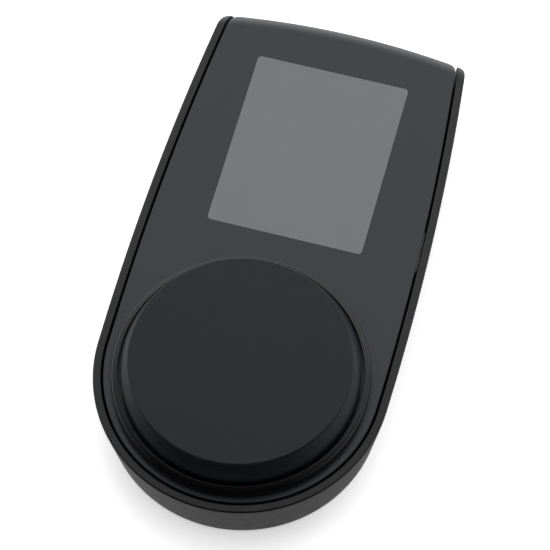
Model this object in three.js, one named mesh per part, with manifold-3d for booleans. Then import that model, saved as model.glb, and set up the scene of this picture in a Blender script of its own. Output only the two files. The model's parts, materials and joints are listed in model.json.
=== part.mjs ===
// Dash-top radar detector: a drafted tub with a flush face plate, a portrait display window and a
// large push-and-turn dial standing in a glossy ring. Millimetres, +Z up.
// The drawing below has the dial's axis on Z and the top of the face plate at Z = 0. The whole group
// is then moved so that the origin is the middle of the bounding box, at its base.
import * as THREE from 'three';
import { mergeVertices } from 'three/addons/utils/BufferGeometryUtils.js';
import Module from 'manifold-3d';

const wasm = await Module();
wasm.setup();

// ---- Driving dimensions ----
const GAP = 0.3; // clearance kept between neighbouring pieces

// Plan outline: a round near end, two long shallow side arcs and a shallow far arc.
const NOSE_R = 27.44;
const SIDE_R = 560;
const HALF_WIDTH = 27.65;
const WIDEST_Y = 15.7;
const FAR_R = 150;
const FAR_Y = 77.2;
const CORNER_R = 1.2;

// Tub
const DEPTH = 13.8;
const DRAFT = 1.9; // how far the side wall leans in over the whole depth
const WALL = 1.55;
const FLOOR = 1.6;
const BASE_FILLET = 0.8;
const RIM_FILLET = 0.4;
const FAR_ROLL = 3.5; // radius that the top surface rolls over at the far end

// Face plate
const SEAM = 0.4; // open seam between the face plate and the rim of the tub
const PLATE = 2.0;
const SKIRT_DROP = 3.7;

// Display
const DISPLAY_Y = 48.23;
const DISPLAY_W = 30.0;
const DISPLAY_L = 36.9;
const DISPLAY_CORNER = 0.8;
const GLASS = 1.2;
const LEDGE = 1.2; // ledge that carries the glass, all round
const LCD_W = 32.4;
const LCD_L = 44;

// Dial and ring
const PRESS = 0.6; // travel of the push switch under the dial
const DIAL_TOP_Z = 7.5;
const DIAL_TOP_R = 20.28;
const DIAL_NECK_R = 20.45; // just under the top edge, above the flare
const DIAL_R = 21.95;
const DIAL_FLARE_Z = 3; // the side is upright from here down
const DIAL_BOTTOM_Z = PRESS + GAP;
const DIAL_EDGE = 0.2;
const DIAL_SKIN = 1.6;
const DIAL_WALL = 1.4;
const RING_R = 23.75;
const RING_BORE = 22.5;
const RING_TOP_Z = 2.44;
const RING_CROWN = 0.12; // fall of the ring's top from its bore to its shoulder
const RING_SHOULDER = 0.75;
const LEG_ANGLES = [90, 200, 340];
const LEG_W = 2.4;
const LEG_T = 0.6;
const LEG_DROP = 3.4;

// Encoder
const BUSH_R = 3.5;
const BUSH_TOP = 1.9;
const NUT_R = 5.4; // to its corners
const NUT_TOP = 1.8;
const SHAFT_R = 2.5;
const SPLINE_R = 3.0;
const ENCODER = 13; // square body
const ENCODER_TOP = -PLATE - GAP;
const SHAFT_FOOT = -4.3;
const CHAMBER_TOP = -3.8;
const HUB_R = 6;
const HUB_BOTTOM = 2.8;
const SPLINE_TOP = 5.2;
const PLUNGER = 0.6;

// Board and the pieces on it
const BOARD_TOP = -7.0;
const BOARD = 1.2;
const BOARD_FAR_Y = 49;
const ON_BOARD = BOARD_TOP + GAP;
const FLOOR_TOP = FLOOR - DEPTH;
const SHIELD = { x: 0, y: 39, width: 24, length: 16, height: 1.6 };
const SHIELD_SHEET = 0.4;
const CHIP = { x: 8, y: 15, width: 10, length: 10, height: 1.1 };
const ANTENNA = { x: -10, y: 14.75, width: 14, length: 13.5, height: 2.8 };

// Base pad and screws
const PAD_W = 31;
const PAD_L = 66;
const PAD_Y = 29;
const PAD = 1.2;
const PAD_CORNER = 6;
const PAD_PROUD = 0.6;
const SCREWS = [[16, -13], [-16, -13], [19.2, 62], [-19.2, 62]];
const BOSS_R = 2.6;
const BOSS_END = -8.9;
const HEAD_R = 1.9;
const HEAD = 0.9;
const HEAD_TOP = -12.8;
const THREAD_R = 0.9;
const THREAD_END = -5.5;
const RECESS = 0.5; // depth and width of the cross recess in a screw head
const RECESS_REACH = 1.2;

// Speaker, power jack and receiver parts
const SPEAKER_Y = -12;
const SPEAKER_R = 10;
const SLOT_W = 1.2;
const SLOT_L = 12;
const JACK_Y = 35;
const JACK_W = 8.4;
const JACK_TOP = -3.8;
const JACK_MOUTH_X = 26;
const HORN_X = -3;
const HORN_MOUTH = 22;
const HORN_THROAT = 12;
const LASER_X = 12.6;
const LASER_Z = -8.6;
const SENSOR = { width: 5, height: 4, back: 58, front: 61 };
const WINDOW_INSET = 0.25; // the front window stands this far back from the far face
const WINDOW = 1.5;

// ---- Worked out from the above ----
const NOSE_Y = WIDEST_Y - Math.sqrt((SIDE_R - NOSE_R) ** 2 - (SIDE_R - HALF_WIDTH) ** 2);
const TANGENT = Math.atan2(NOSE_Y - WIDEST_Y, SIDE_R - HALF_WIDTH);
const RIGHT_ANGLE = Math.PI / 2;
const OPEN_END = -5; // an inset that reaches past the body, so that a cut is open there
const TURN_STEPS = 48;

// ---- Outline and heights ----
function outline(inset, farInset) {
  const noseR = NOSE_R - inset;
  const sideX = (y) => HALF_WIDTH - SIDE_R + Math.sqrt((SIDE_R - inset) ** 2 - (y - WIDEST_Y) ** 2);
  const farY = (x) => FAR_Y - FAR_R + Math.sqrt((FAR_R - farInset) ** 2 - x ** 2);
  let cornerY = farY(HALF_WIDTH);
  for (let pass = 0; pass < 4; pass += 1) {
    cornerY = farY(sideX(cornerY));
  }
  const corner = new THREE.Vector2(sideX(cornerY), cornerY);
  const sideTop = cornerY - CORNER_R;
  const sideFoot = NOSE_Y + noseR * Math.sin(TANGENT);
  const farStart = corner.x - CORNER_R;

  const half = [];
  const noseSteps = 20;
  for (let i = 0; i <= noseSteps; i += 1) {
    const angle = THREE.MathUtils.lerp(-RIGHT_ANGLE, TANGENT, i / noseSteps);
    half.push(new THREE.Vector2(noseR * Math.cos(angle), NOSE_Y + noseR * Math.sin(angle)));
  }
  const sideSteps = 6;
  for (let i = 1; i < sideSteps; i += 1) {
    const y = THREE.MathUtils.lerp(sideFoot, sideTop, i / sideSteps);
    half.push(new THREE.Vector2(sideX(y), y));
  }
  const sideEnd = new THREE.Vector2(sideX(sideTop), sideTop);
  const farEnd = new THREE.Vector2(farStart, farY(farStart));
  half.push(...new THREE.QuadraticBezierCurve(sideEnd, corner, farEnd).getPoints(3));
  const farSteps = 6;
  for (let i = 1; i <= farSteps; i += 1) {
    const x = THREE.MathUtils.lerp(farStart, 0, i / farSteps);
    half.push(new THREE.Vector2(x, farY(x)));
  }
  half[0].x = 0;
  const mirrored = half.slice(1, -1).reverse().map((point) => new THREE.Vector2(-point.x, point.y));
  return [...half, ...mirrored];
}

// Inward lean of the side wall at height z.
function lean(z) {
  return (DRAFT * -z) / DEPTH;
}

// How far a fillet pulls a surface in at a distance from its edge.
function fillet(distance, radius) {
  return distance < radius ? radius - Math.sqrt(radius ** 2 - (radius - distance) ** 2) : 0;
}

// Distances from an edge at which a fillet's facets meet, in equal turns.
function filletSteps(radius, steps) {
  return Array.from({ length: steps + 1 }, (_, i) => radius * (1 - Math.cos((RIGHT_ANGLE * i) / steps)));
}

// ---- Solids ----
function solid(geometry) {
  const bare = geometry.clone();
  bare.deleteAttribute('normal');
  bare.deleteAttribute('uv');
  const merged = mergeVertices(bare, 1e-4);
  const triangles = [];
  for (let i = 0; i < merged.index.count; i += 3) {
    const [a, b, c] = [0, 1, 2].map((corner) => merged.index.getX(i + corner));
    if (a !== b && b !== c && c !== a) {
      triangles.push(a, b, c);
    }
  }
  return new wasm.Manifold(new wasm.Mesh({
    numProp: 3,
    vertProperties: Float32Array.from(merged.attributes.position.array),
    triVerts: Uint32Array.from(triangles),
  }));
}

// A solid through one outline per level; levels rise in z.
function loft(levels) {
  const rings = levels.map(({ inset, far }) => outline(inset, far));
  const count = rings[0].length;
  const positions = rings.flatMap((ring, level) => ring.flatMap(({ x, y }) => [x, y, levels[level].z]));
  const index = [];
  for (let level = 0; level < rings.length - 1; level += 1) {
    for (let i = 0; i < count; i += 1) {
      const a = level * count + i;
      const b = level * count + ((i + 1) % count);
      index.push(a, b, b + count, a, b + count, a + count);
    }
  }
  const top = (rings.length - 1) * count;
  THREE.ShapeUtils.triangulateShape(rings[0], []).forEach(([a, b, c]) => {
    const [p, q, r] = [a, b, c].map((i) => rings[0][i]);
    const turnsLeft = (q.x - p.x) * (r.y - p.y) - (q.y - p.y) * (r.x - p.x) > 0;
    const [second, third] = turnsLeft ? [b, c] : [c, b];
    index.push(a, third, second, top + a, top + second, top + third);
  });
  const geometry = new THREE.BufferGeometry();
  geometry.setAttribute('position', new THREE.Float32BufferAttribute(positions, 3));
  geometry.setIndex(index);
  return solid(geometry);
}

// A level of the tub's skin, or of a wall parallel to it.
function skinLevel(z, inset, far) {
  return { z, inset: inset + lean(z), far };
}

function slab([x0, y0, z0], [x1, y1, z1]) {
  const box = new THREE.BoxGeometry(x1 - x0, y1 - y0, z1 - z0);
  return solid(box.translate((x0 + x1) / 2, (y0 + y1) / 2, (z0 + z1) / 2));
}

function rod(radius, z0, z1, x = 0, y = 0, sides = 24) {
  const cylinder = new THREE.CylinderGeometry(radius, radius, z1 - z0, sides);
  return solid(cylinder.rotateX(RIGHT_ANGLE).translate(x, y, (z0 + z1) / 2));
}

// A turned solid about Z. The profile lists [radius, z], anticlockwise, from axis to axis or closed.
function turned(profile, steps = TURN_STEPS) {
  const points = profile.map(([radius, z]) => new THREE.Vector2(radius, z));
  return solid(new THREE.LatheGeometry(points, steps).rotateX(RIGHT_ANGLE));
}

function roundedSlab(width, length, corner, z0, z1, y) {
  const [halfW, halfL] = [width / 2, length / 2];
  const shape = new THREE.Shape();
  shape.absarc(halfW - corner, halfL - corner, corner, 0, RIGHT_ANGLE);
  shape.absarc(corner - halfW, halfL - corner, corner, RIGHT_ANGLE, 2 * RIGHT_ANGLE);
  shape.absarc(corner - halfW, corner - halfL, corner, 2 * RIGHT_ANGLE, 3 * RIGHT_ANGLE);
  shape.absarc(halfW - corner, corner - halfL, corner, 3 * RIGHT_ANGLE, 4 * RIGHT_ANGLE);
  const options = { depth: z1 - z0, bevelEnabled: false, curveSegments: 5 };
  return solid(new THREE.ExtrudeGeometry(shape, options).translate(0, y, z0));
}

function union(...parts) {
  return parts.reduce((whole, part) => whole.add(part));
}

function cut(body, ...tools) {
  return tools.reduce((whole, tool) => whole.subtract(tool), body);
}

// ---- Materials ----
function finish(color, roughness, metalness = 0) {
  return new THREE.MeshStandardMaterial({ color, roughness, metalness });
}

const satinBlack = finish(0x36373a, 0.45);
const softBlack = finish(0x2b2f32, 0.7);
const glossBlack = finish(0x08080a, 0.12);
const greyGlass = finish(0x6f7477, 0.3);
const infraredBlack = finish(0x0a0608, 0.15);
const rubber = finish(0x1c1c1d, 0.85);
const boardGreen = finish(0x11402a, 0.5);
const steel = finish(0xa9abad, 0.35, 1);
const zinc = finish(0x8e9092, 0.45, 1);
const whitePlastic = finish(0xe2e2de, 0.5);
const flexAmber = finish(0x8a5a1c, 0.4);
const ceramicTan = finish(0xb9a98a, 0.6);
const blackPlastic = finish(0x161617, 0.55);

// ---- Housing ----
function bottomShell() {
  const heights = new Set([
    ...filletSteps(BASE_FILLET, 3).map((distance) => distance - DEPTH),
    ...filletSteps(FAR_ROLL, 5).map((distance) => -distance),
    ...filletSteps(RIM_FILLET, 2).map((distance) => -distance),
  ]);
  const levels = [...heights].sort((a, b) => a - b).map((z) => {
    const base = fillet(z + DEPTH, BASE_FILLET);
    return skinLevel(z, base + fillet(-z, RIM_FILLET), base + fillet(-z, FAR_ROLL));
  });
  const cavity = loft([skinLevel(FLOOR_TOP, WALL, OPEN_END), skinLevel(1, WALL, OPEN_END)]);
  const pillars = SCREWS.map(([x, y]) => rod(BOSS_R, FLOOR_TOP - 0.2, BOSS_END - GAP, x, y));
  const screwHoles = SCREWS.map(([x, y]) => rod(THREAD_R + GAP, -DEPTH, BOSS_END + 1, x, y));
  const headHoles = SCREWS.map(([x, y]) => rod(HEAD_R + GAP, -DEPTH - 1, HEAD_TOP + GAP, x, y));
  const padTop = PAD - PAD_PROUD - DEPTH;
  const padRecess = roundedSlab(
    PAD_W + 2 * GAP, PAD_L + 2 * GAP, PAD_CORNER, -DEPTH - 1, padTop + GAP, PAD_Y,
  );
  const speakerSlots = [-3, 0, 3].map((step) => {
    const y = SPEAKER_Y + step;
    return slab([-SLOT_L / 2, y - SLOT_W / 2, -DEPTH - 1], [SLOT_L / 2, y + SLOT_W / 2, FLOOR_TOP + 1]);
  });
  const jackHole = slab(
    [JACK_MOUTH_X - 6, JACK_Y - JACK_W / 2 - GAP, ON_BOARD - GAP],
    [JACK_MOUTH_X + 6, JACK_Y + JACK_W / 2 + GAP, JACK_TOP + GAP],
  );
  const tub = union(cut(loft(levels), cavity), ...pillars);
  return cut(tub, ...screwHoles, ...headHoles, padRecess, ...speakerSlots, jackHole);
}

function facePlate() {
  const heights = [-SKIRT_DROP, ...filletSteps(FAR_ROLL, 5).map((distance) => -distance).reverse()];
  const skin = loft(heights.map((z) => skinLevel(z, WALL + SEAM, fillet(-z, FAR_ROLL))));
  const underside = loft([
    { z: -SKIRT_DROP - 1, inset: OPEN_END, far: PLATE },
    { z: -PLATE, inset: OPEN_END, far: PLATE },
  ]);
  const bosses = SCREWS.map(([x, y]) => rod(BOSS_R, BOSS_END, -PLATE + 0.2, x, y));
  const pilots = SCREWS.map(([x, y]) => rod(THREAD_R + GAP, BOSS_END - 1, -PLATE - 2, x, y));
  const glassRecess = roundedSlab(
    DISPLAY_W + 2 * GAP, DISPLAY_L + 2 * GAP, DISPLAY_CORNER, -GLASS - GAP, 1, DISPLAY_Y,
  );
  const opening = roundedSlab(
    DISPLAY_W - 2 * LEDGE, DISPLAY_L - 2 * LEDGE, DISPLAY_CORNER, -PLATE - 1, 1, DISPLAY_Y,
  );
  const bushHole = rod(BUSH_R + GAP, -PLATE - 1, 1);
  const legSlots = LEG_ANGLES.map((angle) => ringLeg(angle, GAP));
  return cut(union(cut(skin, underside), ...bosses), ...pilots, glassRecess, opening, bushHole, ...legSlots);
}

// A snap leg under the ring, or with a margin the slot that it goes through.
function ringLeg(angle, margin) {
  const radius = (RING_BORE + RING_R) / 2;
  const [halfWidth, halfDepth] = [LEG_W / 2 + margin, LEG_T / 2 + margin];
  const leg = new THREE.BoxGeometry(2 * halfDepth, 2 * halfWidth, LEG_DROP + 2 * margin);
  leg.translate(radius, 0, (GAP + 0.2) - LEG_DROP / 2).rotateZ(THREE.MathUtils.degToRad(angle));
  return solid(leg);
}

function dialRing() {
  const shoulder = new THREE.QuadraticBezierCurve(
    new THREE.Vector2(RING_R, RING_TOP_Z - 1.5 * RING_SHOULDER),
    new THREE.Vector2(RING_R, RING_TOP_Z - RING_CROWN),
    new THREE.Vector2(RING_R - RING_SHOULDER, RING_TOP_Z - RING_CROWN),
  ).getPoints(4).map(({ x, y }) => [x, y]);
  const ring = turned([
    [RING_BORE, GAP], [RING_R, GAP], ...shoulder, [RING_BORE, RING_TOP_Z], [RING_BORE, GAP],
  ]);
  return union(ring, ...LEG_ANGLES.map((angle) => ringLeg(angle, 0)));
}

function displayWindow() {
  return roundedSlab(DISPLAY_W, DISPLAY_L, DISPLAY_CORNER, -GLASS, 0, DISPLAY_Y);
}

// The dark panel across the far end that the receiver looks out through.
function frontWindow() {
  const [foot, head] = [FLOOR_TOP + GAP, -SKIRT_DROP - GAP];
  const panel = loft([foot, head].map((z) => skinLevel(z, WALL + GAP, WINDOW_INSET)));
  const behind = loft([foot - 1, head + 1].map((z) => ({ z, inset: OPEN_END, far: WINDOW_INSET + WINDOW })));
  return cut(panel, behind);
}

function basePad() {
  return roundedSlab(PAD_W, PAD_L, PAD_CORNER, -DEPTH - PAD_PROUD, PAD - PAD_PROUD - DEPTH, PAD_Y);
}

function caseScrew([x, y]) {
  const headBottom = HEAD_TOP - HEAD;
  const head = rod(HEAD_R, headBottom, HEAD_TOP, x, y);
  const thread = rod(THREAD_R, HEAD_TOP - 0.2, THREAD_END, x, y, 12);
  const [arm, half] = [RECESS_REACH, RECESS / 2];
  const cross = union(
    slab([x - arm, y - half, headBottom - 1], [x + arm, y + half, headBottom + RECESS]),
    slab([x - half, y - arm, headBottom - 1], [x + half, y + arm, headBottom + RECESS]),
  );
  return cut(union(head, thread), cross);
}

// ---- Display module ----
function lcdSlab(z0, z1) {
  return roundedSlab(LCD_W, LCD_L, 0.5, z0, z1, DISPLAY_Y);
}

function lcdPanel() {
  return lcdSlab(-PLATE - GAP - 1, -PLATE - GAP);
}

function lcdBacklight() {
  return lcdSlab(-PLATE - 2 * GAP - 2, -PLATE - 2 * GAP - 1);
}

// The flat flex lead, bent down from the near edge of the panel to the board.
function lcdRibbon() {
  const thickness = 0.2;
  const edgeY = DISPLAY_Y - LCD_L / 2 - GAP;
  const topZ = -PLATE - GAP - 0.5;
  const bend = (offset) => new THREE.CubicBezierCurve(
    new THREE.Vector2(edgeY, topZ - offset),
    new THREE.Vector2(edgeY - 2.5 + offset, topZ - offset),
    new THREE.Vector2(edgeY - 2.5 + offset, ON_BOARD + offset),
    new THREE.Vector2(edgeY, ON_BOARD + offset),
  ).getPoints(8);
  const section = new THREE.Shape([...bend(0), ...bend(thickness).reverse()]);
  const strip = new THREE.ExtrudeGeometry(section, { depth: 12, bevelEnabled: false }).translate(0, 0, -6);
  const across = new THREE.Matrix4().makeBasis(
    new THREE.Vector3(0, 1, 0), new THREE.Vector3(0, 0, 1), new THREE.Vector3(1, 0, 0),
  );
  return solid(strip.applyMatrix4(across));
}

// ---- Board ----
function mainBoard() {
  const plan = [BOARD_TOP - BOARD, BOARD_TOP].map((z) => ({ z, inset: 3.2, far: 0 }));
  const beyond = slab([-40, BOARD_FAR_Y, BOARD_TOP - 3], [40, 100, BOARD_TOP + 3]);
  const notches = SCREWS.slice(0, 2).map(([x, y]) => rod(BOSS_R + 0.6, BOARD_TOP - 3, BOARD_TOP + 3, x, y));
  return cut(loft(plan), beyond, ...notches);
}

// A block on the board, or with a sheet thickness the space under a can of that block's size.
function onBoard({ x, y, width, length, height }, sheet = 0) {
  const [halfW, halfL] = [width / 2 - sheet, length / 2 - sheet];
  const foot = sheet > 0 ? ON_BOARD - 1 : ON_BOARD;
  return slab([x - halfW, y - halfL, foot], [x + halfW, y + halfL, ON_BOARD + height - sheet]);
}

function receiverShield() {
  return cut(onBoard(SHIELD), onBoard(SHIELD, SHIELD_SHEET));
}

function mainChip() {
  return onBoard(CHIP);
}

function gpsAntenna() {
  return onBoard(ANTENNA);
}

function powerJack() {
  const [low, high] = [JACK_Y - JACK_W / 2, JACK_Y + JACK_W / 2];
  const shellWall = 0.5;
  const can = slab([17.6, low, ON_BOARD], [JACK_MOUTH_X, high, JACK_TOP]);
  const socket = slab(
    [JACK_MOUTH_X - 5, low + shellWall, ON_BOARD + shellWall],
    [JACK_MOUTH_X + 1, high - shellWall, JACK_TOP - shellWall],
  );
  const middle = (ON_BOARD + JACK_TOP) / 2;
  const tongue = slab(
    [JACK_MOUTH_X - 5.2, low + 2, middle - 0.3],
    [JACK_MOUTH_X - 1, high - 2, middle + 0.3],
  );
  return union(cut(can, socket), tongue);
}

function speaker() {
  const foot = FLOOR_TOP + 3.5 * GAP;
  const [shoulder, head] = [foot + 1.2, foot + 2.4];
  const magnetR = 6;
  return turned([
    [0, foot], [SPEAKER_R, foot], [SPEAKER_R, shoulder],
    [magnetR, shoulder], [magnetR, head], [0, head],
  ]).translate([0, SPEAKER_Y, 0]);
}

function speakerGasket() {
  const [foot, head] = [FLOOR_TOP + GAP, FLOOR_TOP + 2.5 * GAP];
  const profile = [[8.5, foot], [SPEAKER_R, foot], [SPEAKER_R, head], [8.5, head], [8.5, foot]];
  return turned(profile).translate([0, SPEAKER_Y, 0]);
}

// ---- Receiver at the far end ----
function hornFlare(throat, mouth, y0, y1, z0, z1) {
  const plan = new THREE.Shape([
    new THREE.Vector2(HORN_X - throat / 2, y0),
    new THREE.Vector2(HORN_X + throat / 2, y0),
    new THREE.Vector2(HORN_X + mouth / 2, y1),
    new THREE.Vector2(HORN_X - mouth / 2, y1),
  ]);
  return solid(new THREE.ExtrudeGeometry(plan, { depth: z1 - z0, bevelEnabled: false }).translate(0, 0, z0));
}

function hornAntenna() {
  const wall = 1.2;
  const [foot, head] = [FLOOR_TOP + GAP, -5.3];
  const [back, mouthY] = [52, FAR_Y - 4];
  const outer = hornFlare(HORN_THROAT, HORN_MOUTH, back, mouthY, foot, head);
  const inner = hornFlare(
    HORN_THROAT - 2 * wall, HORN_MOUTH - 2 * wall, back + 2, mouthY + 0.5, foot + wall, head - wall,
  );
  return cut(outer, inner);
}

// A plano-convex lens with its axis along Y and its bulge towards the far end.
function laserLens() {
  const radius = 3.1;
  const [back, rim, tip] = [FAR_Y - 6.5, FAR_Y - 5.7, FAR_Y - 4];
  const crown = new THREE.QuadraticBezierCurve(
    new THREE.Vector2(radius, rim), new THREE.Vector2(radius * 0.7, tip), new THREE.Vector2(0, tip),
  );
  const profile = [new THREE.Vector2(0, back), new THREE.Vector2(radius, back), ...crown.getPoints(6)];
  return solid(new THREE.LatheGeometry(profile, 24)).translate([LASER_X, 0, LASER_Z]);
}

function laserSensor() {
  const [halfW, halfH] = [SENSOR.width / 2, SENSOR.height / 2];
  return slab(
    [LASER_X - halfW, SENSOR.back, LASER_Z - halfH],
    [LASER_X + halfW, SENSOR.front, LASER_Z + halfH],
  );
}

// ---- Encoder and push switch ----
function encoderBody() {
  const half = ENCODER / 2;
  const block = slab([-half, -half, ON_BOARD], [half, half, ENCODER_TOP]);
  const bush = rod(BUSH_R, ENCODER_TOP - 0.2, BUSH_TOP);
  const chamber = rod(SPLINE_R + GAP, ON_BOARD + 0.6, CHAMBER_TOP);
  return cut(union(block, bush), chamber, rod(SHAFT_R + GAP, CHAMBER_TOP - 0.2, BUSH_TOP + 1));
}

function encoderNut() {
  return cut(rod(NUT_R, GAP, NUT_TOP, 0, 0, 6), rod(BUSH_R + GAP, 0, NUT_TOP + 1));
}

function switchPlunger() {
  return rod(SPLINE_R, SHAFT_FOOT - GAP - PLUNGER, SHAFT_FOOT - GAP);
}

// What the flat takes off the shaft, or with a margin off the hub's bore.
function shaftFlat(margin) {
  return slab([SPLINE_R - 1 + margin, -5, HUB_BOTTOM - 1], [SPLINE_R + 2, 5, 8]);
}

function encoderShaft() {
  const step = HUB_BOTTOM + 0.1;
  const shaft = turned([
    [0, SHAFT_FOOT], [SHAFT_R, SHAFT_FOOT], [SHAFT_R, step],
    [SPLINE_R, step], [SPLINE_R, SPLINE_TOP], [0, SPLINE_TOP],
  ], 24);
  return cut(shaft, shaftFlat(0));
}

function dialHub() {
  const head = DIAL_TOP_Z - DIAL_SKIN - GAP;
  const bore = cut(rod(SPLINE_R + GAP, HUB_BOTTOM - 1, head + 1), shaftFlat(GAP));
  return cut(rod(HUB_R, HUB_BOTTOM, head, 0, 0, TURN_STEPS), bore);
}

function dialCap() {
  const ceiling = DIAL_TOP_Z - DIAL_SKIN;
  const socketR = HUB_R + GAP;
  const socketFoot = HUB_BOTTOM + 0.4;
  const flare = new THREE.CubicBezierCurve(
    new THREE.Vector2(DIAL_R, DIAL_FLARE_Z),
    new THREE.Vector2(DIAL_R, DIAL_FLARE_Z + 2.2),
    new THREE.Vector2(DIAL_NECK_R, DIAL_TOP_Z - 1.5),
    new THREE.Vector2(DIAL_NECK_R, DIAL_TOP_Z - DIAL_EDGE),
  );
  return turned([
    [0, ceiling], [socketR, ceiling], [socketR, socketFoot], [socketR + 1.3, socketFoot],
    [socketR + 1.3, ceiling], [DIAL_TOP_R - 1.6, ceiling],
    [DIAL_R - DIAL_WALL, DIAL_FLARE_Z], [DIAL_R - DIAL_WALL, DIAL_BOTTOM_Z], [DIAL_R, DIAL_BOTTOM_Z],
    ...flare.getPoints(6).map(({ x, y }) => [x, y]),
    [DIAL_TOP_R, DIAL_TOP_Z], [0, DIAL_TOP_Z],
  ]);
}

// ---- Assembly ----
const detector = new THREE.Group();
detector.position.set(0, -(NOSE_Y - NOSE_R + FAR_Y) / 2, DEPTH + PAD_PROUD);

function place(name, body, material) {
  const { vertProperties, triVerts } = body.getMesh();
  const geometry = new THREE.BufferGeometry();
  geometry.setAttribute('position', new THREE.BufferAttribute(vertProperties, 3));
  geometry.setIndex(new THREE.BufferAttribute(triVerts, 1));
  geometry.computeVertexNormals();
  const mesh = new THREE.Mesh(geometry, material);
  mesh.name = name;
  detector.add(mesh);
}

place('bottom_shell', bottomShell(), satinBlack);
place('face_plate', facePlate(), satinBlack);
place('dial_ring', dialRing(), glossBlack);
place('display_window', displayWindow(), greyGlass);
place('front_window', frontWindow(), infraredBlack);
place('base_pad', basePad(), rubber);
SCREWS.forEach((spot, i) => place(`case_screw_${i + 1}`, caseScrew(spot), steel));

place('lcd_panel', lcdPanel(), greyGlass);
place('lcd_backlight', lcdBacklight(), whitePlastic);
place('lcd_ribbon', lcdRibbon(), flexAmber);
place('main_board', mainBoard(), boardGreen);
place('receiver_shield', receiverShield(), steel);
place('main_chip', mainChip(), blackPlastic);
place('gps_antenna', gpsAntenna(), ceramicTan);
place('power_jack', powerJack(), steel);
place('speaker', speaker(), blackPlastic);
place('speaker_gasket', speakerGasket(), rubber);
place('horn_antenna', hornAntenna(), zinc);
place('laser_lens', laserLens(), infraredBlack);
place('laser_sensor', laserSensor(), blackPlastic);

place('encoder_body', encoderBody(), zinc);
place('encoder_nut', encoderNut(), steel);
place('switch_plunger', switchPlunger(), whitePlastic);
place('encoder_shaft', encoderShaft(), steel);
place('dial_hub', dialHub(), zinc);
place('dial_cap', dialCap(), softBlack);

export default detector;
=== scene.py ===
"""Looks of the dash-top radar detector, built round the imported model.

Lengths in this file are millimetres in the drawing's own axes: the dial's axis is at x = y = 0 and the
top of the face plate is at z = 0. place() turns them into metres in the shared frame.
"""
import json
import math

import bmesh
import bpy
from mathutils import Matrix, Vector


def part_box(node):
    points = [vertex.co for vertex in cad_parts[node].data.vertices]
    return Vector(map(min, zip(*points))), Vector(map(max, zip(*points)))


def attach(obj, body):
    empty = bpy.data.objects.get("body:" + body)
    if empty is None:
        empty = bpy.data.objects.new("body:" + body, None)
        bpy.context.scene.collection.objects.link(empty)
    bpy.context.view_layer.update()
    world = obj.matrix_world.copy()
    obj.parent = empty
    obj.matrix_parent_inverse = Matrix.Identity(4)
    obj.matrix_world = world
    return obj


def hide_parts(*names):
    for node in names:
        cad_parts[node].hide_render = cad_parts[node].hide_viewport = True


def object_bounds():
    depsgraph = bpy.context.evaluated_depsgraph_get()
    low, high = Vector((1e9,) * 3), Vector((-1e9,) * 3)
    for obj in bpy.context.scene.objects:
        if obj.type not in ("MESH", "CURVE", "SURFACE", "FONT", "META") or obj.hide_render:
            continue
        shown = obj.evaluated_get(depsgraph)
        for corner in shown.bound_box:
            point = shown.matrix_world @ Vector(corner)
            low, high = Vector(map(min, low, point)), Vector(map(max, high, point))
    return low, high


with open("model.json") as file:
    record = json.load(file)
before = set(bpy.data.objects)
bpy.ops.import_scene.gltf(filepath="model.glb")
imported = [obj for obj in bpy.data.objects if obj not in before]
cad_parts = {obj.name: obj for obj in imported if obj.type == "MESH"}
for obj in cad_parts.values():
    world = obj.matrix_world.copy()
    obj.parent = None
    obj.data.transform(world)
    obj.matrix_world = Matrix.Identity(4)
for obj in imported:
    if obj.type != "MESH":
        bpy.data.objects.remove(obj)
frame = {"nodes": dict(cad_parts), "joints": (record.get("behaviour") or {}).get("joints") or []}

cad_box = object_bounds()

# ---- Places read from the frame ----
MM = 0.001
joints = {joint["name"]: joint for joint in frame["joints"]}
PIVOT = Vector(joints["dial_turn"]["pos_m"])
_, PLATE_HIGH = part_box("face_plate")
ORIGIN = Vector((PIVOT.x, PIVOT.y, PLATE_HIGH.z))


def measured(node):
    """Lowest and highest corner of a CAD node, in millimetres in the drawing's axes."""
    return tuple((corner - ORIGIN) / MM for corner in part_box(node))


SHELL_LOW, SHELL_HIGH = measured("bottom_shell")
CAP_LOW, CAP_HIGH = measured("dial_cap")
_, RING_HIGH = measured("dial_ring")
GLASS_LOW, GLASS_HIGH = measured("display_window")
PAD_LOW, PAD_HIGH = measured("base_pad")
PANEL_LOW, PANEL_HIGH = measured("front_window")
JACK_LOW, JACK_HIGH = measured("power_jack")

# ---- Driving dimensions of the skins ----
GAP = 0.3  # clearance between neighbouring pieces

# Plan outline: a round near end, two long shallow side arcs and a shallow far arc.
NOSE_R = 27.44
SIDE_R = 560
HALF_WIDTH = 27.65
WIDEST_Y = 15.7
FAR_R = 150
FAR_Y = SHELL_HIGH.y
CORNER_R = 1.2
NOSE_STEPS, SIDE_STEPS, CORNER_STEPS, FAR_STEPS = 56, 20, 8, 24
OPEN_END = -5  # an inset that reaches past the body, so that a cut is open there

# Tub
DEPTH = -SHELL_LOW.z
DRAFT = 1.9  # how far the side wall leans in over the whole depth
TRIM = 0.02  # draws the skin in, so that its finer facets stay inside the CAD box
WALL = 1.55
FLOOR = 1.6
BASE_FILLET = 0.8
RIM_FILLET = 0.38
INNER_FILLET = 0.12
FAR_ROLL = 3.5  # radius that the top rolls over at the far end
MID_WALL_Z = -7.6  # one more section across the straight part of the wall
BOSS_R = 2.6
BOSS_END = -8.9
PILOT_R = 1.2
MOUTH = 0.15  # chamfer at the mouth of a hole in the base
HEAD_HOLE = 1.3  # depth of the hole that a screw head sits in
SLOT_W = 1.2
SLOT_L = 12
SLOT_DEPTH = 3.0
SLOT_CORNER = 0.55
SPEAKER_SLOTS = (-15, -12, -9)
JACK_CORNER = 0.6
JACK_FLARE = 0.35

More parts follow.
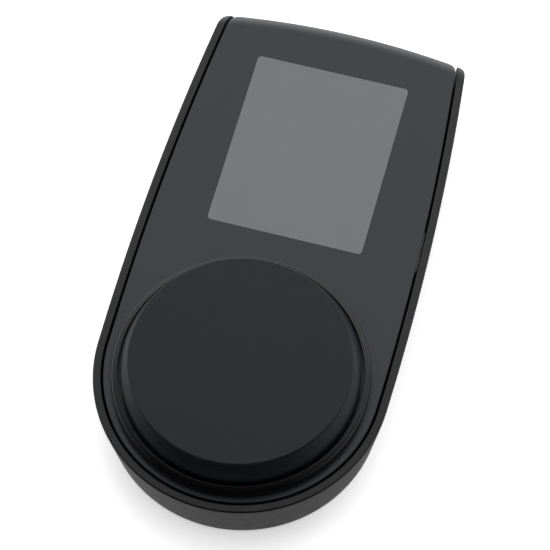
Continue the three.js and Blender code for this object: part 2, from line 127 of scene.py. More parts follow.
# Face plate and display
SEAM = 0.4  # open seam between the face plate and the rim of the tub
PLATE = 2.0
PLATE_EDGE = 0.3
SKIRT_END = -3.7
BUSH_HOLE_R = 3.8
GLASS_CORNER = 0.8
GLASS_EDGE = 0.05
GLASS_GAP = 0.04
LEDGE = 1.2  # ledge that carries the glass, all round

# Front window
PANEL_EDGE = 0.3
PANEL_BACK = 1.75

# Base pad
PAD_CORNER = 6
PAD_EDGE = 0.3
GROOVES = 9
GROOVE_PITCH = 2.8
GROOVE_W = 0.8
GROOVE_DEPTH = 0.35
GROOVE_CORNER = 0.39
GROOVE_MARGIN = 5

# Screws
HEAD_R = 1.9
HEAD = 0.9
HEAD_EDGE = 0.35
THREAD_R = 0.9
THREAD_TIP = 0.5
THREAD_TIP_R = 0.5
RECESS_W = 0.5
RECESS_L = 2.3
RECESS_DEPTH = 0.55
RECESS_CORNER = 0.08

# Ring
RING_GAP = 0.58  # between the dial and the ring
RING_SHOULDER = 0.75
RING_CROWN = 0.12  # fall of the ring's top from its bore to its shoulder
RING_LIP = 0.07
RING_FOOT = 0.02
RING_FOOT_EDGE = 0.1

# Dial
DIAL_TOP_R = 20.28
DIAL_NECK_R = 20.45  # just under the top edge
DIAL_NECK_Z = 6.65  # the neck is upright above here
DIAL_FLARE_Z = 3.0  # the side is upright below here
DIAL_FOOT_EDGE = 0.2
DIAL_WALL = 1.4
DIAL_SKIN = 1.6
SOCKET_R = 6.3
SOCKET_WALL = 1.3
SOCKET_FOOT = 3.2

# ---- Worked out from the above ----
NOSE_Y = WIDEST_Y - math.sqrt((SIDE_R - NOSE_R) ** 2 - (SIDE_R - HALF_WIDTH) ** 2)
TANGENT = math.atan2(NOSE_Y - WIDEST_Y, SIDE_R - HALF_WIDTH)


# ---- Outlines ----
def lerp(a, b, t):
    return a + (b - a) * t


def outline(inset, far_inset):
    """Plan outline of the body, drawn in by inset at the sides and by far_inset at the far end."""
    nose_r = NOSE_R - inset

    def side_x(y):
        return HALF_WIDTH - SIDE_R + math.sqrt((SIDE_R - inset) ** 2 - (y - WIDEST_Y) ** 2)

    def far_y(x):
        return FAR_Y - FAR_R + math.sqrt((FAR_R - far_inset) ** 2 - x ** 2)

    corner_y = far_y(HALF_WIDTH)
    for _ in range(4):
        corner_y = far_y(side_x(corner_y))
    corner_x = side_x(corner_y)
    side_top = corner_y - CORNER_R
    side_foot = NOSE_Y + nose_r * math.sin(TANGENT)
    far_start = corner_x - CORNER_R

    half = []
    for i in range(NOSE_STEPS + 1):
        angle = lerp(-math.pi / 2, TANGENT, i / NOSE_STEPS)
        half.append((nose_r * math.cos(angle), NOSE_Y + nose_r * math.sin(angle)))
    half[0] = (0.0, half[0][1])
    for i in range(1, SIDE_STEPS):
        y = lerp(side_foot, side_top, i / SIDE_STEPS)
        half.append((side_x(y), y))
    side_end, far_end = (side_x(side_top), side_top), (far_start, far_y(far_start))
    for i in range(CORNER_STEPS + 1):
        t = i / CORNER_STEPS
        weights = ((1 - t) ** 2, 2 * t * (1 - t), t ** 2)
        points = (side_end, (corner_x, corner_y), far_end)
        half.append(tuple(sum(w * p[axis] for w, p in zip(weights, points)) for axis in (0, 1)))
    for i in range(1, FAR_STEPS + 1):
        x = lerp(far_start, 0.0, i / FAR_STEPS)
        half.append((x, far_y(x)))
    mirrored = [(-x, y) for x, y in reversed(half[1:-1])]
    return half + mirrored


def rounded_rectangle(width, length, corner, centre=(0.0, 0.0), steps=8):
    half_w, half_l = width / 2 - corner, length / 2 - corner
    points = []
    for quarter, (side_x, side_y) in enumerate(((1, 1), (-1, 1), (-1, -1), (1, -1))):
        for i in range(steps + 1):
            angle = math.pi / 2 * (quarter + i / steps)
            points.append((centre[0] + side_x * half_w + corner * math.cos(angle),
                           centre[1] + side_y * half_l + corner * math.sin(angle)))
    return points


def circle(radius, centre=(0.0, 0.0), steps=64):
    turn = 2 * math.pi / steps
    return [(centre[0] + radius * math.cos(turn * i), centre[1] + radius * math.sin(turn * i))
            for i in range(steps)]


def lean(z):
    """Inward lean of the side wall at height z."""
    return DRAFT * -z / DEPTH


def fillet(distance, radius):
    """How far a fillet pulls a surface in, at a distance from its edge."""
    if distance >= radius:
        return 0.0
    return radius - math.sqrt(radius ** 2 - (radius - distance) ** 2)


def fillet_steps(radius, steps):
    """Distances from the edge at which the facets of a fillet meet."""
    return [radius * (1 - math.cos(math.pi / 2 * i / steps)) for i in range(steps + 1)]


def bezier(points, steps):
    """Points along a quadratic or cubic Bezier curve, ends included."""
    degree = len(points) - 1
    curve = []
    for i in range(steps + 1):
        t = i / steps
        weights = [math.comb(degree, k) * t ** k * (1 - t) ** (degree - k) for k in range(degree + 1)]
        curve.append(tuple(sum(w * p[axis] for w, p in zip(weights, points)) for axis in (0, 1)))
    return curve


# ---- Meshes ----
def place(x, y, z):
    return ORIGIN + Vector((x, y, z)) * MM


def new_object(name, bm):
    bmesh.ops.recalc_face_normals(bm, faces=bm.faces)
    mesh = bpy.data.meshes.new(name)
    bm.to_mesh(mesh)
    bm.free()
    piece = bpy.data.objects.new(name, mesh)
    bpy.context.scene.collection.objects.link(piece)
    return piece


def stack(name, sections):
    """A closed solid through plan sections, given as (z, points) with equal counts of points."""
    bm = bmesh.new()
    rings = [[bm.verts.new(place(x, y, z)) for x, y in points] for z, points in sections]
    count = len(rings[0])
    for lower, upper in zip(rings, rings[1:]):
        for i in range(count):
            j = (i + 1) % count
            bm.faces.new((lower[i], lower[j], upper[j], upper[i]))
    bm.faces.new(list(reversed(rings[0])))
    bm.faces.new(rings[-1])
    return new_object(name, bm)


def lathe(name, profile, centre=(0.0, 0.0), steps=192):
    """A turned solid about a vertical axis. The profile is (radius, z), from axis to axis or closed."""
    bm = bmesh.new()
    closed = profile[0][0] > 0
    rings = []
    for radius, z in profile:
        if radius > 0:
            rings.append([bm.verts.new(place(x, y, z)) for x, y in circle(radius, centre, steps)])
        else:
            rings.append([bm.verts.new(place(centre[0], centre[1], z))] * steps)
    pairs = list(zip(rings, rings[1:]))
    if closed:
        pairs.append((rings[-1], rings[0]))
    for lower, upper in pairs:
        for i in range(steps):
            j = (i + 1) % steps
            corners = [lower[i], lower[j], upper[j], upper[i]]
            distinct = [v for k, v in enumerate(corners) if v is not corners[k - 1]]
            bm.faces.new(distinct)
    return new_object(name, bm)


def arc(centre, radius, start, end, steps):
    """Points (radius, z) along an arc, with angles in degrees from the outward direction."""
    points = []
    for i in range(steps + 1):
        angle = math.radians(lerp(start, end, i / steps))
        points.append((centre[0] + radius * math.cos(angle), centre[1] + radius * math.sin(angle)))
    return points


def baked(piece):
    """Turns the piece's modifiers into its mesh."""
    graph = bpy.context.evaluated_depsgraph_get()
    mesh = bpy.data.meshes.new_from_object(piece.evaluated_get(graph))
    old = piece.data
    piece.modifiers.clear()
    piece.data = mesh
    bpy.data.meshes.remove(old)
    return piece


def boolean(piece, tool, operation):
    modifier = piece.modifiers.new("boolean", "BOOLEAN")
    modifier.object = tool
    modifier.operation = operation
    modifier.solver = "EXACT"
    baked(piece)
    bpy.data.objects.remove(tool)
    return piece


def cut(piece, *tools):
    for tool in tools:
        boolean(piece, tool, "DIFFERENCE")
    return piece


def join(piece, *others):
    for other in others:
        boolean(piece, other, "UNION")
    return piece


def smooth(piece, sharp_degrees=32):
    """Smooth faces, with edges kept sharp above an angle and large flats kept flat."""
    bm = bmesh.new()
    bm.from_mesh(piece.data)
    bmesh.ops.remove_doubles(bm, verts=bm.verts, dist=2e-7)
    for face in bm.faces:
        face.smooth = True
    for edge in bm.edges:
        edge.smooth = edge.is_manifold and edge.calc_face_angle(0.0) < math.radians(sharp_degrees)
    bm.to_mesh(piece.data)
    bm.free()
    modifier = piece.modifiers.new("weighted normals", "WEIGHTED_NORMAL")
    modifier.keep_sharp = True
    modifier.weight = 80
    return baked(piece)


def add_piece(piece, body, nodes, material):
    smooth(piece)
    piece.data.materials.clear()
    piece.data.materials.append(material)
    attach(piece, body)
    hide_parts(*nodes)
    return piece


# ---- Materials ----
DRIFT_MM = 14.0
PATCH_MM = 2.2


def new_material(name):
    material = bpy.data.materials.new(name)
    material.use_nodes = True
    tree = material.node_tree
    shader = tree.nodes["Principled BSDF"]
    coordinates = tree.nodes.new("ShaderNodeTexCoord")
    return material, tree, shader, coordinates.outputs["Object"]


def add_noise(tree, vector, size_mm, detail=2.0, roughness=0.5):
    """Noise whose blobs are about size_mm across."""
    noise = tree.nodes.new("ShaderNodeTexNoise")
    noise.inputs["Scale"].default_value = 1 / (size_mm * MM)
    noise.inputs["Detail"].default_value = detail
    noise.inputs["Roughness"].default_value = roughness
    tree.links.new(vector, noise.inputs["Vector"])
    return noise.outputs["Fac"]


def add_range(tree, value, low, high):
    """Spreads noise, most of which lies between 0.3 and 0.7, over a range."""
    spread = tree.nodes.new("ShaderNodeMapRange")
    spread.inputs["From Min"].default_value = 0.3
    spread.inputs["From Max"].default_value = 0.7
    spread.inputs["To Min"].default_value = low
    spread.inputs["To Max"].default_value = high
    tree.links.new(value, spread.inputs["Value"])
    return spread.outputs["Result"]


def add_mix(tree, factor, first, second):
    mix = tree.nodes.new("ShaderNodeMix")
    mix.data_type = "RGBA"
    colors = [socket for socket in mix.inputs if socket.type == "RGBA"]
    colors[0].default_value = (*first, 1)
    colors[1].default_value = (*second, 1)
    tree.links.new(factor, mix.inputs["Factor"])
    return next(socket for socket in mix.outputs if socket.type == "RGBA")


def add_bump(tree, shader, height, depth_mm, strength=1.0):
    bump = tree.nodes.new("ShaderNodeBump")
    bump.inputs["Strength"].default_value = strength
    bump.inputs["Distance"].default_value = depth_mm * MM
    tree.links.new(height, bump.inputs["Height"])
    tree.links.new(bump.outputs["Normal"], shader.inputs["Normal"])


def scaled(color, share):
    return tuple(channel * share for channel in color)


def moulded(name, color, roughness, grain_mm=0.12, grain_depth=0.004, specular=0.5,
            spread=0.04, tint=0.05, coat=0.0, metallic=0.0):
    """Moulded or cast surface: fine grain, slow drifts of colour and of roughness.

    The roughness of a visible surface stays on one side of 0.28, because the denoiser leaves specks on
    a surface that crosses it.
    """
    material, tree, shader, vector = new_material(name)
    drift = add_noise(tree, vector, DRIFT_MM, detail=3.0)
    color_out = add_mix(tree, drift, scaled(color, 1 - tint), scaled(color, 1 + tint))
    tree.links.new(color_out, shader.inputs["Base Color"])
    patch = add_noise(tree, vector, PATCH_MM, detail=4.0, roughness=0.65)
    varied = add_range(tree, patch, roughness - spread, roughness + spread)
    tree.links.new(varied, shader.inputs["Roughness"])
    if grain_depth > 0:
        add_bump(tree, shader, add_noise(tree, vector, grain_mm), grain_depth)
    shader.inputs["Specular IOR Level"].default_value = specular
    shader.inputs["Metallic"].default_value = metallic
    shader.inputs["Coat Weight"].default_value = coat
    shader.inputs["Coat Roughness"].default_value = 0.05
    return material


def board_material(name):
    """Green solder resist with a faint pattern of buried copper tracks."""
    material, tree, shader, vector = new_material(name)
    tracks = tree.nodes.new("ShaderNodeTexBrick")
    tracks.inputs["Scale"].default_value = 220
    tracks.inputs["Color1"].default_value = (0.008, 0.060, 0.024, 1)
    tracks.inputs["Color2"].default_value = (0.012, 0.085, 0.034, 1)
    tracks.inputs["Mortar"].default_value = (0.004, 0.036, 0.014, 1)
    tracks.inputs["Mortar Size"].default_value = 0.03
    tree.links.new(vector, tracks.inputs["Vector"])
    tree.links.new(tracks.outputs["Color"], shader.inputs["Base Color"])
    weave = add_noise(tree, vector, 0.4)
    tree.links.new(add_range(tree, weave, 0.22, 0.36), shader.inputs["Roughness"])
    add_bump(tree, shader, tracks.outputs["Fac"], 0.02, 0.4)
    return material


case_plastic = moulded("case_plastic", (0.0068, 0.0070, 0.0075), 0.33)
plate_plastic = moulded("plate_plastic", (0.0205, 0.0222, 0.0268), 0.32, specular=0.48, tint=0.03)
dial_soft = moulded("dial_soft", (0.0050, 0.0078, 0.0106), 0.36, grain_mm=0.09, specular=0.4)
ring_gloss = moulded("ring_gloss", (0.0022, 0.0022, 0.0026), 0.07, grain_mm=1.5, grain_depth=0.001,
                     spread=0.02)
display_glass = moulded("display_glass", (0.132, 0.143, 0.152), 0.33, grain_depth=0, spread=0.03,
                        tint=0.015)
infrared_window = moulded("infrared_window", (0.010, 0.004, 0.006), 0.10, grain_mm=2.0,
                          grain_depth=0.002, spread=0.03, coat=1.0)
pad_rubber = moulded("pad_rubber", (0.017, 0.017, 0.018), 0.78, grain_mm=0.25, grain_depth=0.03,
                     specular=0.3, tint=0.12)
screw_steel = moulded("screw_steel", (0.17, 0.17, 0.18), 0.38, grain_mm=0.15, grain_depth=0.006,
                      metallic=1.0, spread=0.08)
tin_plate = moulded("tin_plate", (0.60, 0.60, 0.62), 0.38, grain_mm=0.6, grain_depth=0.004,
                    metallic=1.0, spread=0.08)
zinc_cast = moulded("zinc_cast", (0.42, 0.43, 0.45), 0.5, grain_mm=0.3, grain_depth=0.02, metallic=1.0)
encoder_metal = moulded("encoder_metal", (0.52, 0.53, 0.55), 0.42, grain_mm=0.25, grain_depth=0.01,
                        metallic=1.0)
lcd_glass = moulded("lcd_glass", (0.09, 0.10, 0.11), 0.15, grain_mm=2.0, grain_depth=0.001, coat=0.6)
backlight_white = moulded("backlight_white", (0.72, 0.72, 0.70), 0.45)
flex_amber = moulded("flex_amber", (0.33, 0.13, 0.02), 0.35)
board_green = board_material("board_green")
chip_black = moulded("chip_black", (0.014, 0.014, 0.015), 0.55)
ceramic_patch = moulded("ceramic_patch", (0.50, 0.41, 0.29), 0.6, grain_mm=0.3, grain_depth=0.01)
speaker_black = moulded("speaker_black", (0.018, 0.018, 0.018), 0.6)
gasket_foam = moulded("gasket_foam", (0.03, 0.03, 0.03), 0.95, grain_mm=0.35, grain_depth=0.1)
lens_dark = moulded("lens_dark", (0.02, 0.004, 0.006), 0.08, coat=1.0)
plunger_white = moulded("plunger_white", (0.66, 0.66, 0.64), 0.5)


# ---- Housing ----
def skin_section(z, inset, far):
    """Plan section of the skin, or of a wall parallel to it, at height z."""
    return z, outline(inset + lean(z), far)


def below_top(*groups):
    """Rising heights from groups of distances below z = 0, without near repeats."""
    return sorted({round(-distance, 5) for group in groups for distance in group})


def screw_spots():
    """Screw axes, from the CAD screws themselves."""
    spots = []
    for i in range(1, 5):
        low, high = measured(f"case_screw_{i}")
        spots.append(((low.x + high.x) / 2, (low.y + high.y) / 2))
    return spots


SCREWS = screw_spots()


def base_cutter(name, points_at, depth):
    """A cutter that goes up from the base, with a small chamfer at its mouth."""
    return stack(name, [
        (-DEPTH - 1, points_at(MOUTH)),
        (-DEPTH, points_at(MOUTH)),
        (-DEPTH + MOUTH, points_at(0.0)),
        (-DEPTH + depth, points_at(0.0)),
    ])


def rod(name, radius, z0, z1, spot=(0.0, 0.0), steps=32):
    return stack(name, [(z, circle(radius, spot, steps)) for z in (z0, z1)])


def middle_of(low, high):
    return (0.0, (low.y + high.y) / 2)


def bottom_shell():
    heights = [distance - DEPTH for distance in fillet_steps(BASE_FILLET, 8)]
    heights += [MID_WALL_Z]
    heights += below_top(fillet_steps(FAR_ROLL, 12), fillet_steps(RIM_FILLET, 6))
    sections = []
    for z in sorted(heights):
        base = fillet(z + DEPTH, BASE_FILLET)
        sections.append(skin_section(z, TRIM + base + fillet(-z, RIM_FILLET), base + fillet(-z, FAR_ROLL)))
    tub = stack("bottom_shell_skin", sections)

    floor_top = FLOOR - DEPTH
    cavity = [skin_section(floor_top, WALL, OPEN_END)]
    for distance in reversed(fillet_steps(INNER_FILLET, 4)):
        cavity.append(skin_section(-distance, WALL - fillet(distance, INNER_FILLET), OPEN_END))
    cavity.append((1.0, outline(WALL - INNER_FILLET, OPEN_END)))
    cut(tub, stack("cavity", cavity))

    for spot in SCREWS:
        join(tub, rod("pillar", BOSS_R, floor_top - 0.2, BOSS_END - GAP, spot, 40))
    for spot in SCREWS:
        cut(tub, rod("screw_hole", PILOT_R, -DEPTH - 1, BOSS_END + 1, spot))
        cut(tub, base_cutter("head_hole", lambda flare: circle(HEAD_R + GAP + flare, spot, 48), HEAD_HOLE))

    width, length = PAD_HIGH.x - PAD_LOW.x + 2 * GAP, PAD_HIGH.y - PAD_LOW.y + 2 * GAP
    middle = middle_of(PAD_LOW, PAD_HIGH)
    cut(tub, base_cutter("pad_recess", lambda flare: rounded_rectangle(
        width + 2 * flare, length + 2 * flare, PAD_CORNER + GAP + flare, middle, 16),
        PAD_HIGH.z + DEPTH + GAP))
    for y in SPEAKER_SLOTS:
        cut(tub, base_cutter("speaker_slot", lambda flare: rounded_rectangle(
            SLOT_L + 2 * flare, SLOT_W + 2 * flare, SLOT_CORNER + flare, (0.0, y)), SLOT_DEPTH))
    cut(tub, jack_opening())
    return add_piece(tub, "housing", ["bottom_shell"], case_plastic)


def jack_opening():
    """Rounded window through the side wall for the power jack, flared at the outside."""
    middle_y, middle_z = (JACK_LOW.y + JACK_HIGH.y) / 2, (JACK_LOW.z + JACK_HIGH.z) / 2
    width, height = JACK_HIGH.y - JACK_LOW.y + 2 * GAP, JACK_HIGH.z - JACK_LOW.z + 2 * GAP
    wall_x = HALF_WIDTH - SIDE_R + math.sqrt(SIDE_R ** 2 - (middle_y - WIDEST_Y) ** 2) - lean(middle_z)
    bm = bmesh.new()
    rings = []
    for depth, flare in ((-4, 0.0), (-0.35, 0.0), (0.15, JACK_FLARE), (2, JACK_FLARE)):
        x = wall_x + depth
        section = rounded_rectangle(width + 2 * flare, height + 2 * flare, JACK_CORNER + flare)
        rings.append([bm.verts.new(place(x, middle_y + y, middle_z + z)) for y, z in section])
    for first, second in zip(rings, rings[1:]):
        for i in range(len(first)):
            j = (i + 1) % len(first)
            bm.faces.new((first[i], first[j], second[j], second[i]))
    bm.faces.new(list(reversed(rings[0])))
    bm.faces.new(rings[-1])
    return new_object("jack_opening", bm)


def face_plate():
    inset = WALL + SEAM
    heights = [SKIRT_END] + below_top(fillet_steps(FAR_ROLL, 12), fillet_steps(PLATE_EDGE, 4))
    sections = [skin_section(z, inset + fillet(-z, PLATE_EDGE), fillet(-z, FAR_ROLL))
                for z in sorted(heights)]
    plate = stack("face_plate_skin", sections)
    cut(plate, stack("underside", [(z, outline(OPEN_END, PLATE)) for z in (SKIRT_END - 1, -PLATE)]))
    for spot in SCREWS:
        join(plate, rod("boss", BOSS_R, BOSS_END, 0.2 - PLATE, spot, 40))
        cut(plate, rod("pilot", PILOT_R, BOSS_END - 1, -PLATE - 2, spot))

    middle = middle_of(GLASS_LOW, GLASS_HIGH)
    width, length = GLASS_HIGH.x - GLASS_LOW.x, GLASS_HIGH.y - GLASS_LOW.y
    recess = rounded_rectangle(
        width + 2 * GLASS_GAP, length + 2 * GLASS_GAP, GLASS_CORNER + GLASS_GAP, middle)
    opening = rounded_rectangle(width - 2 * LEDGE, length - 2 * LEDGE, GLASS_CORNER, middle)
    cut(plate, stack("glass_recess", [(z, recess) for z in (GLASS_LOW.z - GAP, 1.0)]))
    cut(plate, stack("display_opening", [(z, opening) for z in (-PLATE - 1, 1.0)]))
    cut(plate, rod("bush_hole", BUSH_HOLE_R, -PLATE - 1, 1.0, steps=64))
    return add_piece(plate, "housing", ["face_plate"], plate_plastic)


def display_window():
    middle = middle_of(GLASS_LOW, GLASS_HIGH)
    width, length = GLASS_HIGH.x - GLASS_LOW.x, GLASS_HIGH.y - GLASS_LOW.y
    heights = [GLASS_LOW.z] + [-distance for distance in reversed(fillet_steps(GLASS_EDGE, 3))]
    sections = []
    for z in heights:
        pull = fillet(-z, GLASS_EDGE)
        section = rounded_rectangle(width - 2 * pull, length - 2 * pull, GLASS_CORNER - pull, middle)
        sections.append((z, section))
    window = stack("display_glass_pane", sections)
    return add_piece(window, "housing", ["display_window"], display_glass)


def dial_ring():
    """Gloss ring on the plate: a sharp inner lip, a slightly falling top and a round outer shoulder."""
    bore, outer, top = CAP_HIGH.x + RING_GAP, RING_HIGH.x, RING_HIGH.z
    shoulder = [(outer, top - 1.5 * RING_SHOULDER), (outer, top - RING_CROWN),
                (outer - RING_SHOULDER, top - RING_CROWN)]
    crown = [shoulder[-1], (bore + 0.4, top), (bore + RING_LIP, top)]
    foot_middle = (outer - RING_FOOT_EDGE, RING_FOOT + RING_FOOT_EDGE)
    profile = [(bore, RING_FOOT)]
    profile += arc(foot_middle, RING_FOOT_EDGE, -90, 0, 4)
    profile += bezier(shoulder, 14)
    profile += bezier(crown, 6)[1:]
    profile += arc((bore + RING_LIP, top - RING_LIP), RING_LIP, 90, 180, 4)[1:]
    ring = lathe("dial_ring_gloss", profile, steps=256)
    return add_piece(ring, "housing", ["dial_ring"], ring_gloss)


def front_window():
    """Dark panel across the far end, between the side walls."""
    edge_steps = fillet_steps(PANEL_EDGE, 4)
    heights = [PANEL_LOW.z + step for step in edge_steps] + [PANEL_HIGH.z - step for step in edge_steps]
    sections = []
    for z in sorted(heights):
        pull = fillet(z - PANEL_LOW.z, PANEL_EDGE) + fillet(PANEL_HIGH.z - z, PANEL_EDGE)
        sections.append(skin_section(z, WALL + GAP, FAR_Y - PANEL_HIGH.y + pull))
    panel = stack("front_window_panel", sections)
    behind = outline(OPEN_END, PANEL_BACK)
    cut(panel, stack("behind", [(z, behind) for z in (PANEL_LOW.z - 1, PANEL_HIGH.z + 1)]))
    return add_piece(panel, "housing", ["front_window"], infrared_window)


def base_pad():
    """Rubber pad with a rounded edge and shallow grooves along its sole."""
    middle = middle_of(PAD_LOW, PAD_HIGH)
    width, length = PAD_HIGH.x - PAD_LOW.x, PAD_HIGH.y - PAD_LOW.y
    heights = [PAD_LOW.z + distance for distance in fillet_steps(PAD_EDGE, 5)] + [PAD_HIGH.z]
    sections = []
    for z in heights:
        pull = fillet(z - PAD_LOW.z, PAD_EDGE)
        section = rounded_rectangle(width - 2 * pull, length - 2 * pull, PAD_CORNER - pull, middle, 16)
        sections.append((z, section))
    pad = stack("base_pad_rubber", sections)
    for i in range(GROOVES):
        x = (i - (GROOVES - 1) / 2) * GROOVE_PITCH
        section = rounded_rectangle(
            GROOVE_W, length - 2 * GROOVE_MARGIN, GROOVE_CORNER, (x, middle[1]), 6)
        cut(pad, stack("groove", [(PAD_LOW.z + step, section) for step in (-1, GROOVE_DEPTH)]))
    return add_piece(pad, "housing", ["base_pad"], pad_rubber)


def case_screw(number, spot):
    """Pan-head screw with a rounded head edge and a cross recess."""
    low, high = measured(f"case_screw_{number}")
    head_top = low.z + HEAD
    profile = [(0.0, low.z)]
    profile += arc((HEAD_R - HEAD_EDGE, low.z + HEAD_EDGE), HEAD_EDGE, -90, 0, 6)
    profile += [(HEAD_R, head_top), (THREAD_R, head_top), (THREAD_R, high.z - THREAD_TIP),
                (THREAD_TIP_R, high.z), (0.0, high.z)]
    screw = lathe(f"case_screw_{number}_steel", profile, spot, steps=64)
    for width, length in ((RECESS_W, RECESS_L), (RECESS_L, RECESS_W)):
        tapered = [(low.z - 0.5, 1.15), (low.z + RECESS_DEPTH, 0.8)]
        cut(screw, stack("recess", [
            (z, rounded_rectangle(width * share, length * share, RECESS_CORNER, spot, 3))
            for z, share in tapered]))
    return add_piece(screw, "housing", [f"case_screw_{number}"], screw_steel)


def dial_cap():
    """Flat-topped dial: crisp top edge, short upright neck, flared side and a straight skirt."""
    top, foot, radius = CAP_HIGH.z, CAP_LOW.z, CAP_HIGH.x
    edge = DIAL_NECK_R - DIAL_TOP_R
    ceiling = top - DIAL_SKIN
    inner = radius - DIAL_WALL
    profile = [(0.0, ceiling), (SOCKET_R, ceiling), (SOCKET_R, SOCKET_FOOT),
               (SOCKET_R + SOCKET_WALL, SOCKET_FOOT), (SOCKET_R + SOCKET_WALL, ceiling),
               (DIAL_TOP_R - 1.6, ceiling), (inner, DIAL_FLARE_Z), (inner, foot),
               (radius - DIAL_FOOT_EDGE, foot), (radius, foot + DIAL_FOOT_EDGE)]
    profile += bezier([(radius, DIAL_FLARE_Z), (radius, DIAL_FLARE_Z + 1.6),
                       (DIAL_NECK_R + 0.5, DIAL_NECK_Z - 0.75), (DIAL_NECK_R, DIAL_NECK_Z)], 28)
    profile += arc((DIAL_TOP_R, top - edge), edge, 0, 90, 6)
    profile += [(DIAL_TOP_R - 2, top), (0.0, top)]
    cap = lathe("dial_cap_soft", profile, steps=256)
    return add_piece(cap, "dial", ["dial_cap"], dial_soft)


CARRIED_OVER = {
    "lcd_panel": lcd_glass,
    "lcd_backlight": backlight_white,
    "lcd_ribbon": flex_amber,
    "main_board": board_green,
    "receiver_shield": tin_plate,
    "main_chip": chip_black,
    "gps_antenna": ceramic_patch,
    "power_jack": tin_plate,
    "speaker": speaker_black,
    "speaker_gasket": gasket_foam,
    "horn_antenna": zinc_cast,
    "laser_lens": lens_dark,
    "laser_sensor": chip_black,
    "encoder_body": encoder_metal,
    "encoder_nut": screw_steel,
    "encoder_shaft": screw_steel,
    "switch_plunger": plunger_white,
    "dial_hub": encoder_metal,
}


def paint_carried_over():
    for name, material in CARRIED_OVER.items():
        node = frame["nodes"][name]
        node.data.materials.clear()
        node.data.materials.append(material)


# ---- Camera ----
def add_camera():
    """Long lens, looking down on the plate from the dial end and a little from the right."""
    azimuth, elevation, roll = (math.radians(angle) for angle in (16.44, 63.52, -1.37))
    distance, lens = 506.3, 178.2
    aim = place(0.54, 21.59, 0)
    back = Vector((math.sin(azimuth) * math.cos(elevation), -math.cos(azimuth) * math.cos(elevation),
                   math.sin(elevation)))
    level = Vector((math.cos(azimuth), math.sin(azimuth), 0))
    upright = back.cross(level)
    right = level * math.cos(roll) + upright * math.sin(roll)
    up = upright * math.cos(roll) - level * math.sin(roll)
    data = bpy.data.cameras.new("camera")
    data.lens = lens
    data.sensor_width = 36
    data.clip_start, data.clip_end = 0.02, 20
    camera = bpy.data.objects.new("camera", data)
    bpy.context.scene.collection.objects.link(camera)
    axes = Matrix((right, up, back)).transposed()
    camera.matrix_world = Matrix.Translation(aim + back * distance * MM) @ axes.to_4x4()
    bpy.context.scene.camera = camera


# ---- Studio ----
def add_floor():
    bm = bmesh.new()
    half, level = 3.0, cad_box[0].z - 0.0002
    corners = [bm.verts.new((x, y, level)) for x, y in
               ((-half, -half), (half, -half), (half, half), (-half, half))]
    bm.faces.new(corners)
    floor = new_object("floor", bm)
    material, tree, shader, vector = new_material("floor_paper")
    shade = add_noise(tree, vector, 60.0)
    tree.links.new(add_mix(tree, shade, (0.90, 0.90, 0.90), (0.93, 0.93, 0.93)), shader.inputs["Base Color"])
    shader.inputs["Roughness"].default_value = 0.9
    shader.inputs["Emission Color"].default_value = (1, 1, 1, 1)
    shader.inputs["Emission Strength"].default_value = 0.5
    shader.inputs["Specular IOR Level"].default_value = 0.1
    floor.data.materials.append(material)
    floor.visible_glossy = False


def add_softbox(name, azimuth, elevation, distance, width, height, power):
    """A rectangular light that faces the origin."""
    azimuth, elevation = math.radians(azimuth), math.radians(elevation)
    towards = Vector((math.sin(azimuth) * math.cos(elevation), -math.cos(azimuth) * math.cos(elevation),
                      math.sin(elevation)))
    data = bpy.data.lights.new(name, "AREA")
    data.shape = "RECTANGLE"
    data.size, data.size_y = width, height
    data.energy = power
    light = bpy.data.objects.new(name, data)
    light.location = towards * distance
    light.rotation_mode = "QUATERNION"
    light.rotation_quaternion = towards.to_track_quat("Z", "Y")
    bpy.context.scene.collection.objects.link(light)
    return light


ROOM_STRENGTH = 1.15
WINDOW_GAIN = 0.5
LEFT_GAIN = 1.15
RIGHT_GAIN = 0.7
DARK_SHARE = 0.99
# Brightness of the room by the height z of the direction, from straight down upwards.
ROOM_LEVELS = ((-1.0, 0.27), (-0.35, 0.6), (-0.05, 1.0), (0.4, 0.95))


def add_step(tree, value, start, end):
    """Rises smoothly from 0 at start to 1 at end; end may be the lower of the two."""
    step = tree.nodes.new("ShaderNodeMapRange")
    step.interpolation_type = "SMOOTHSTEP"
    step.inputs["From Min"].default_value = min(start, end)
    step.inputs["From Max"].default_value = max(start, end)
    step.inputs["To Min"].default_value = 0 if start < end else 1
    step.inputs["To Max"].default_value = 1 if start < end else 0
    tree.links.new(value, step.inputs["Value"])
    return step.outputs["Result"]


def add_math(tree, operation, first, second):
    """A math node; second is a socket or a number."""
    node = tree.nodes.new("ShaderNodeMath")
    node.operation = operation
    tree.links.new(first, node.inputs[0])
    if isinstance(second, (int, float)):
        node.inputs[1].default_value = second
    else:
        tree.links.new(second, node.inputs[1])
    return node.outputs[0]


def one_minus(tree, value, share=1.0):
    """1 minus a share of the value."""
    return add_math(tree, "ADD", add_math(tree, "MULTIPLY", value, -share), 1)


def product(tree, first, *others):
    for other in others:
        first = add_math(tree, "MULTIPLY", first, other)
    return first


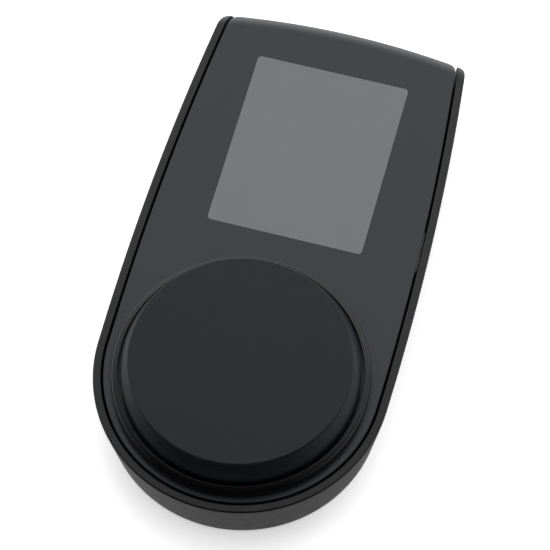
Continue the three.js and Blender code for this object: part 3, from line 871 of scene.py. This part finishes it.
def add_room():
    """Bright sides and back, with a dark front where the photographer stands and a dark ceiling.

    An opening in the ceiling, behind and above the object, lights its flat top. A window low down
    behind the object is brighter than the walls. All are functions of the direction x, y, z.
    """
    world = bpy.data.worlds.new("studio")
    world.use_nodes = True
    tree = world.node_tree
    direction = tree.nodes.new("ShaderNodeTexCoord").outputs["Generated"]
    split = tree.nodes.new("ShaderNodeSeparateXYZ")
    tree.links.new(direction, split.inputs["Vector"])
    x, y, z = split.outputs

    height = tree.nodes.new("ShaderNodeMapRange")
    height.inputs["From Min"].default_value = -1
    tree.links.new(z, height.inputs["Value"])
    walls = tree.nodes.new("ShaderNodeValToRGB")
    while len(walls.color_ramp.elements) < len(ROOM_LEVELS):
        walls.color_ramp.elements.new(0.5)
    for element, (level_z, level) in zip(walls.color_ramp.elements, ROOM_LEVELS):
        element.position = (level_z + 1) / 2
        element.color = (level, level, level, 1)
    tree.links.new(height.outputs["Result"], walls.inputs["Fac"])

    aside = add_math(tree, "ABSOLUTE", x, 0)
    far_front = add_step(tree, y, 0.35, -0.85)
    middle_front = product(tree, add_step(tree, aside, 0.75, 0.55), add_step(tree, y, 0.1, -0.15))
    front = product(tree, add_math(tree, "MAXIMUM", far_front, middle_front), add_step(tree, z, -0.8, -0.5))
    opening = product(tree, add_step(tree, aside, 0.45, 0.28), add_step(tree, y, 0.15, 0.42))
    ceiling = product(tree, add_step(tree, z, 0.68, 0.8), one_minus(tree, opening))
    dark = add_math(tree, "MAXIMUM", front, ceiling)
    window = product(tree, add_step(tree, y, 0.5, 0.8), add_step(tree, z, 0.62, 0.45))
    gain = add_math(tree, "ADD", add_math(tree, "MULTIPLY", window, WINDOW_GAIN), 1)

    side = tree.nodes.new("ShaderNodeMapRange")
    side.inputs["From Min"].default_value = -1
    side.inputs["To Min"].default_value = LEFT_GAIN
    side.inputs["To Max"].default_value = RIGHT_GAIN
    tree.links.new(x, side.inputs["Value"])
    level = product(tree, walls.outputs["Color"], one_minus(tree, dark, DARK_SHARE), gain,
                    side.outputs["Result"])
    tree.links.new(level, tree.nodes["Background"].inputs["Color"])
    tree.nodes["Background"].inputs["Strength"].default_value = ROOM_STRENGTH
    bpy.context.scene.world = world


def add_studio():
    add_room()
    top = add_softbox("top_softbox", azimuth=180, elevation=80, distance=1.2, width=1.2, height=1.2,
                      power=12)
    top.visible_glossy = False
    bpy.context.scene.view_settings.view_transform = "Standard"


bottom_shell()
face_plate()
display_window()
dial_ring()
front_window()
base_pad()
for number, spot in enumerate(SCREWS, start=1):
    case_screw(number, spot)
dial_cap()
paint_carried_over()
add_camera()
add_floor()
add_studio()
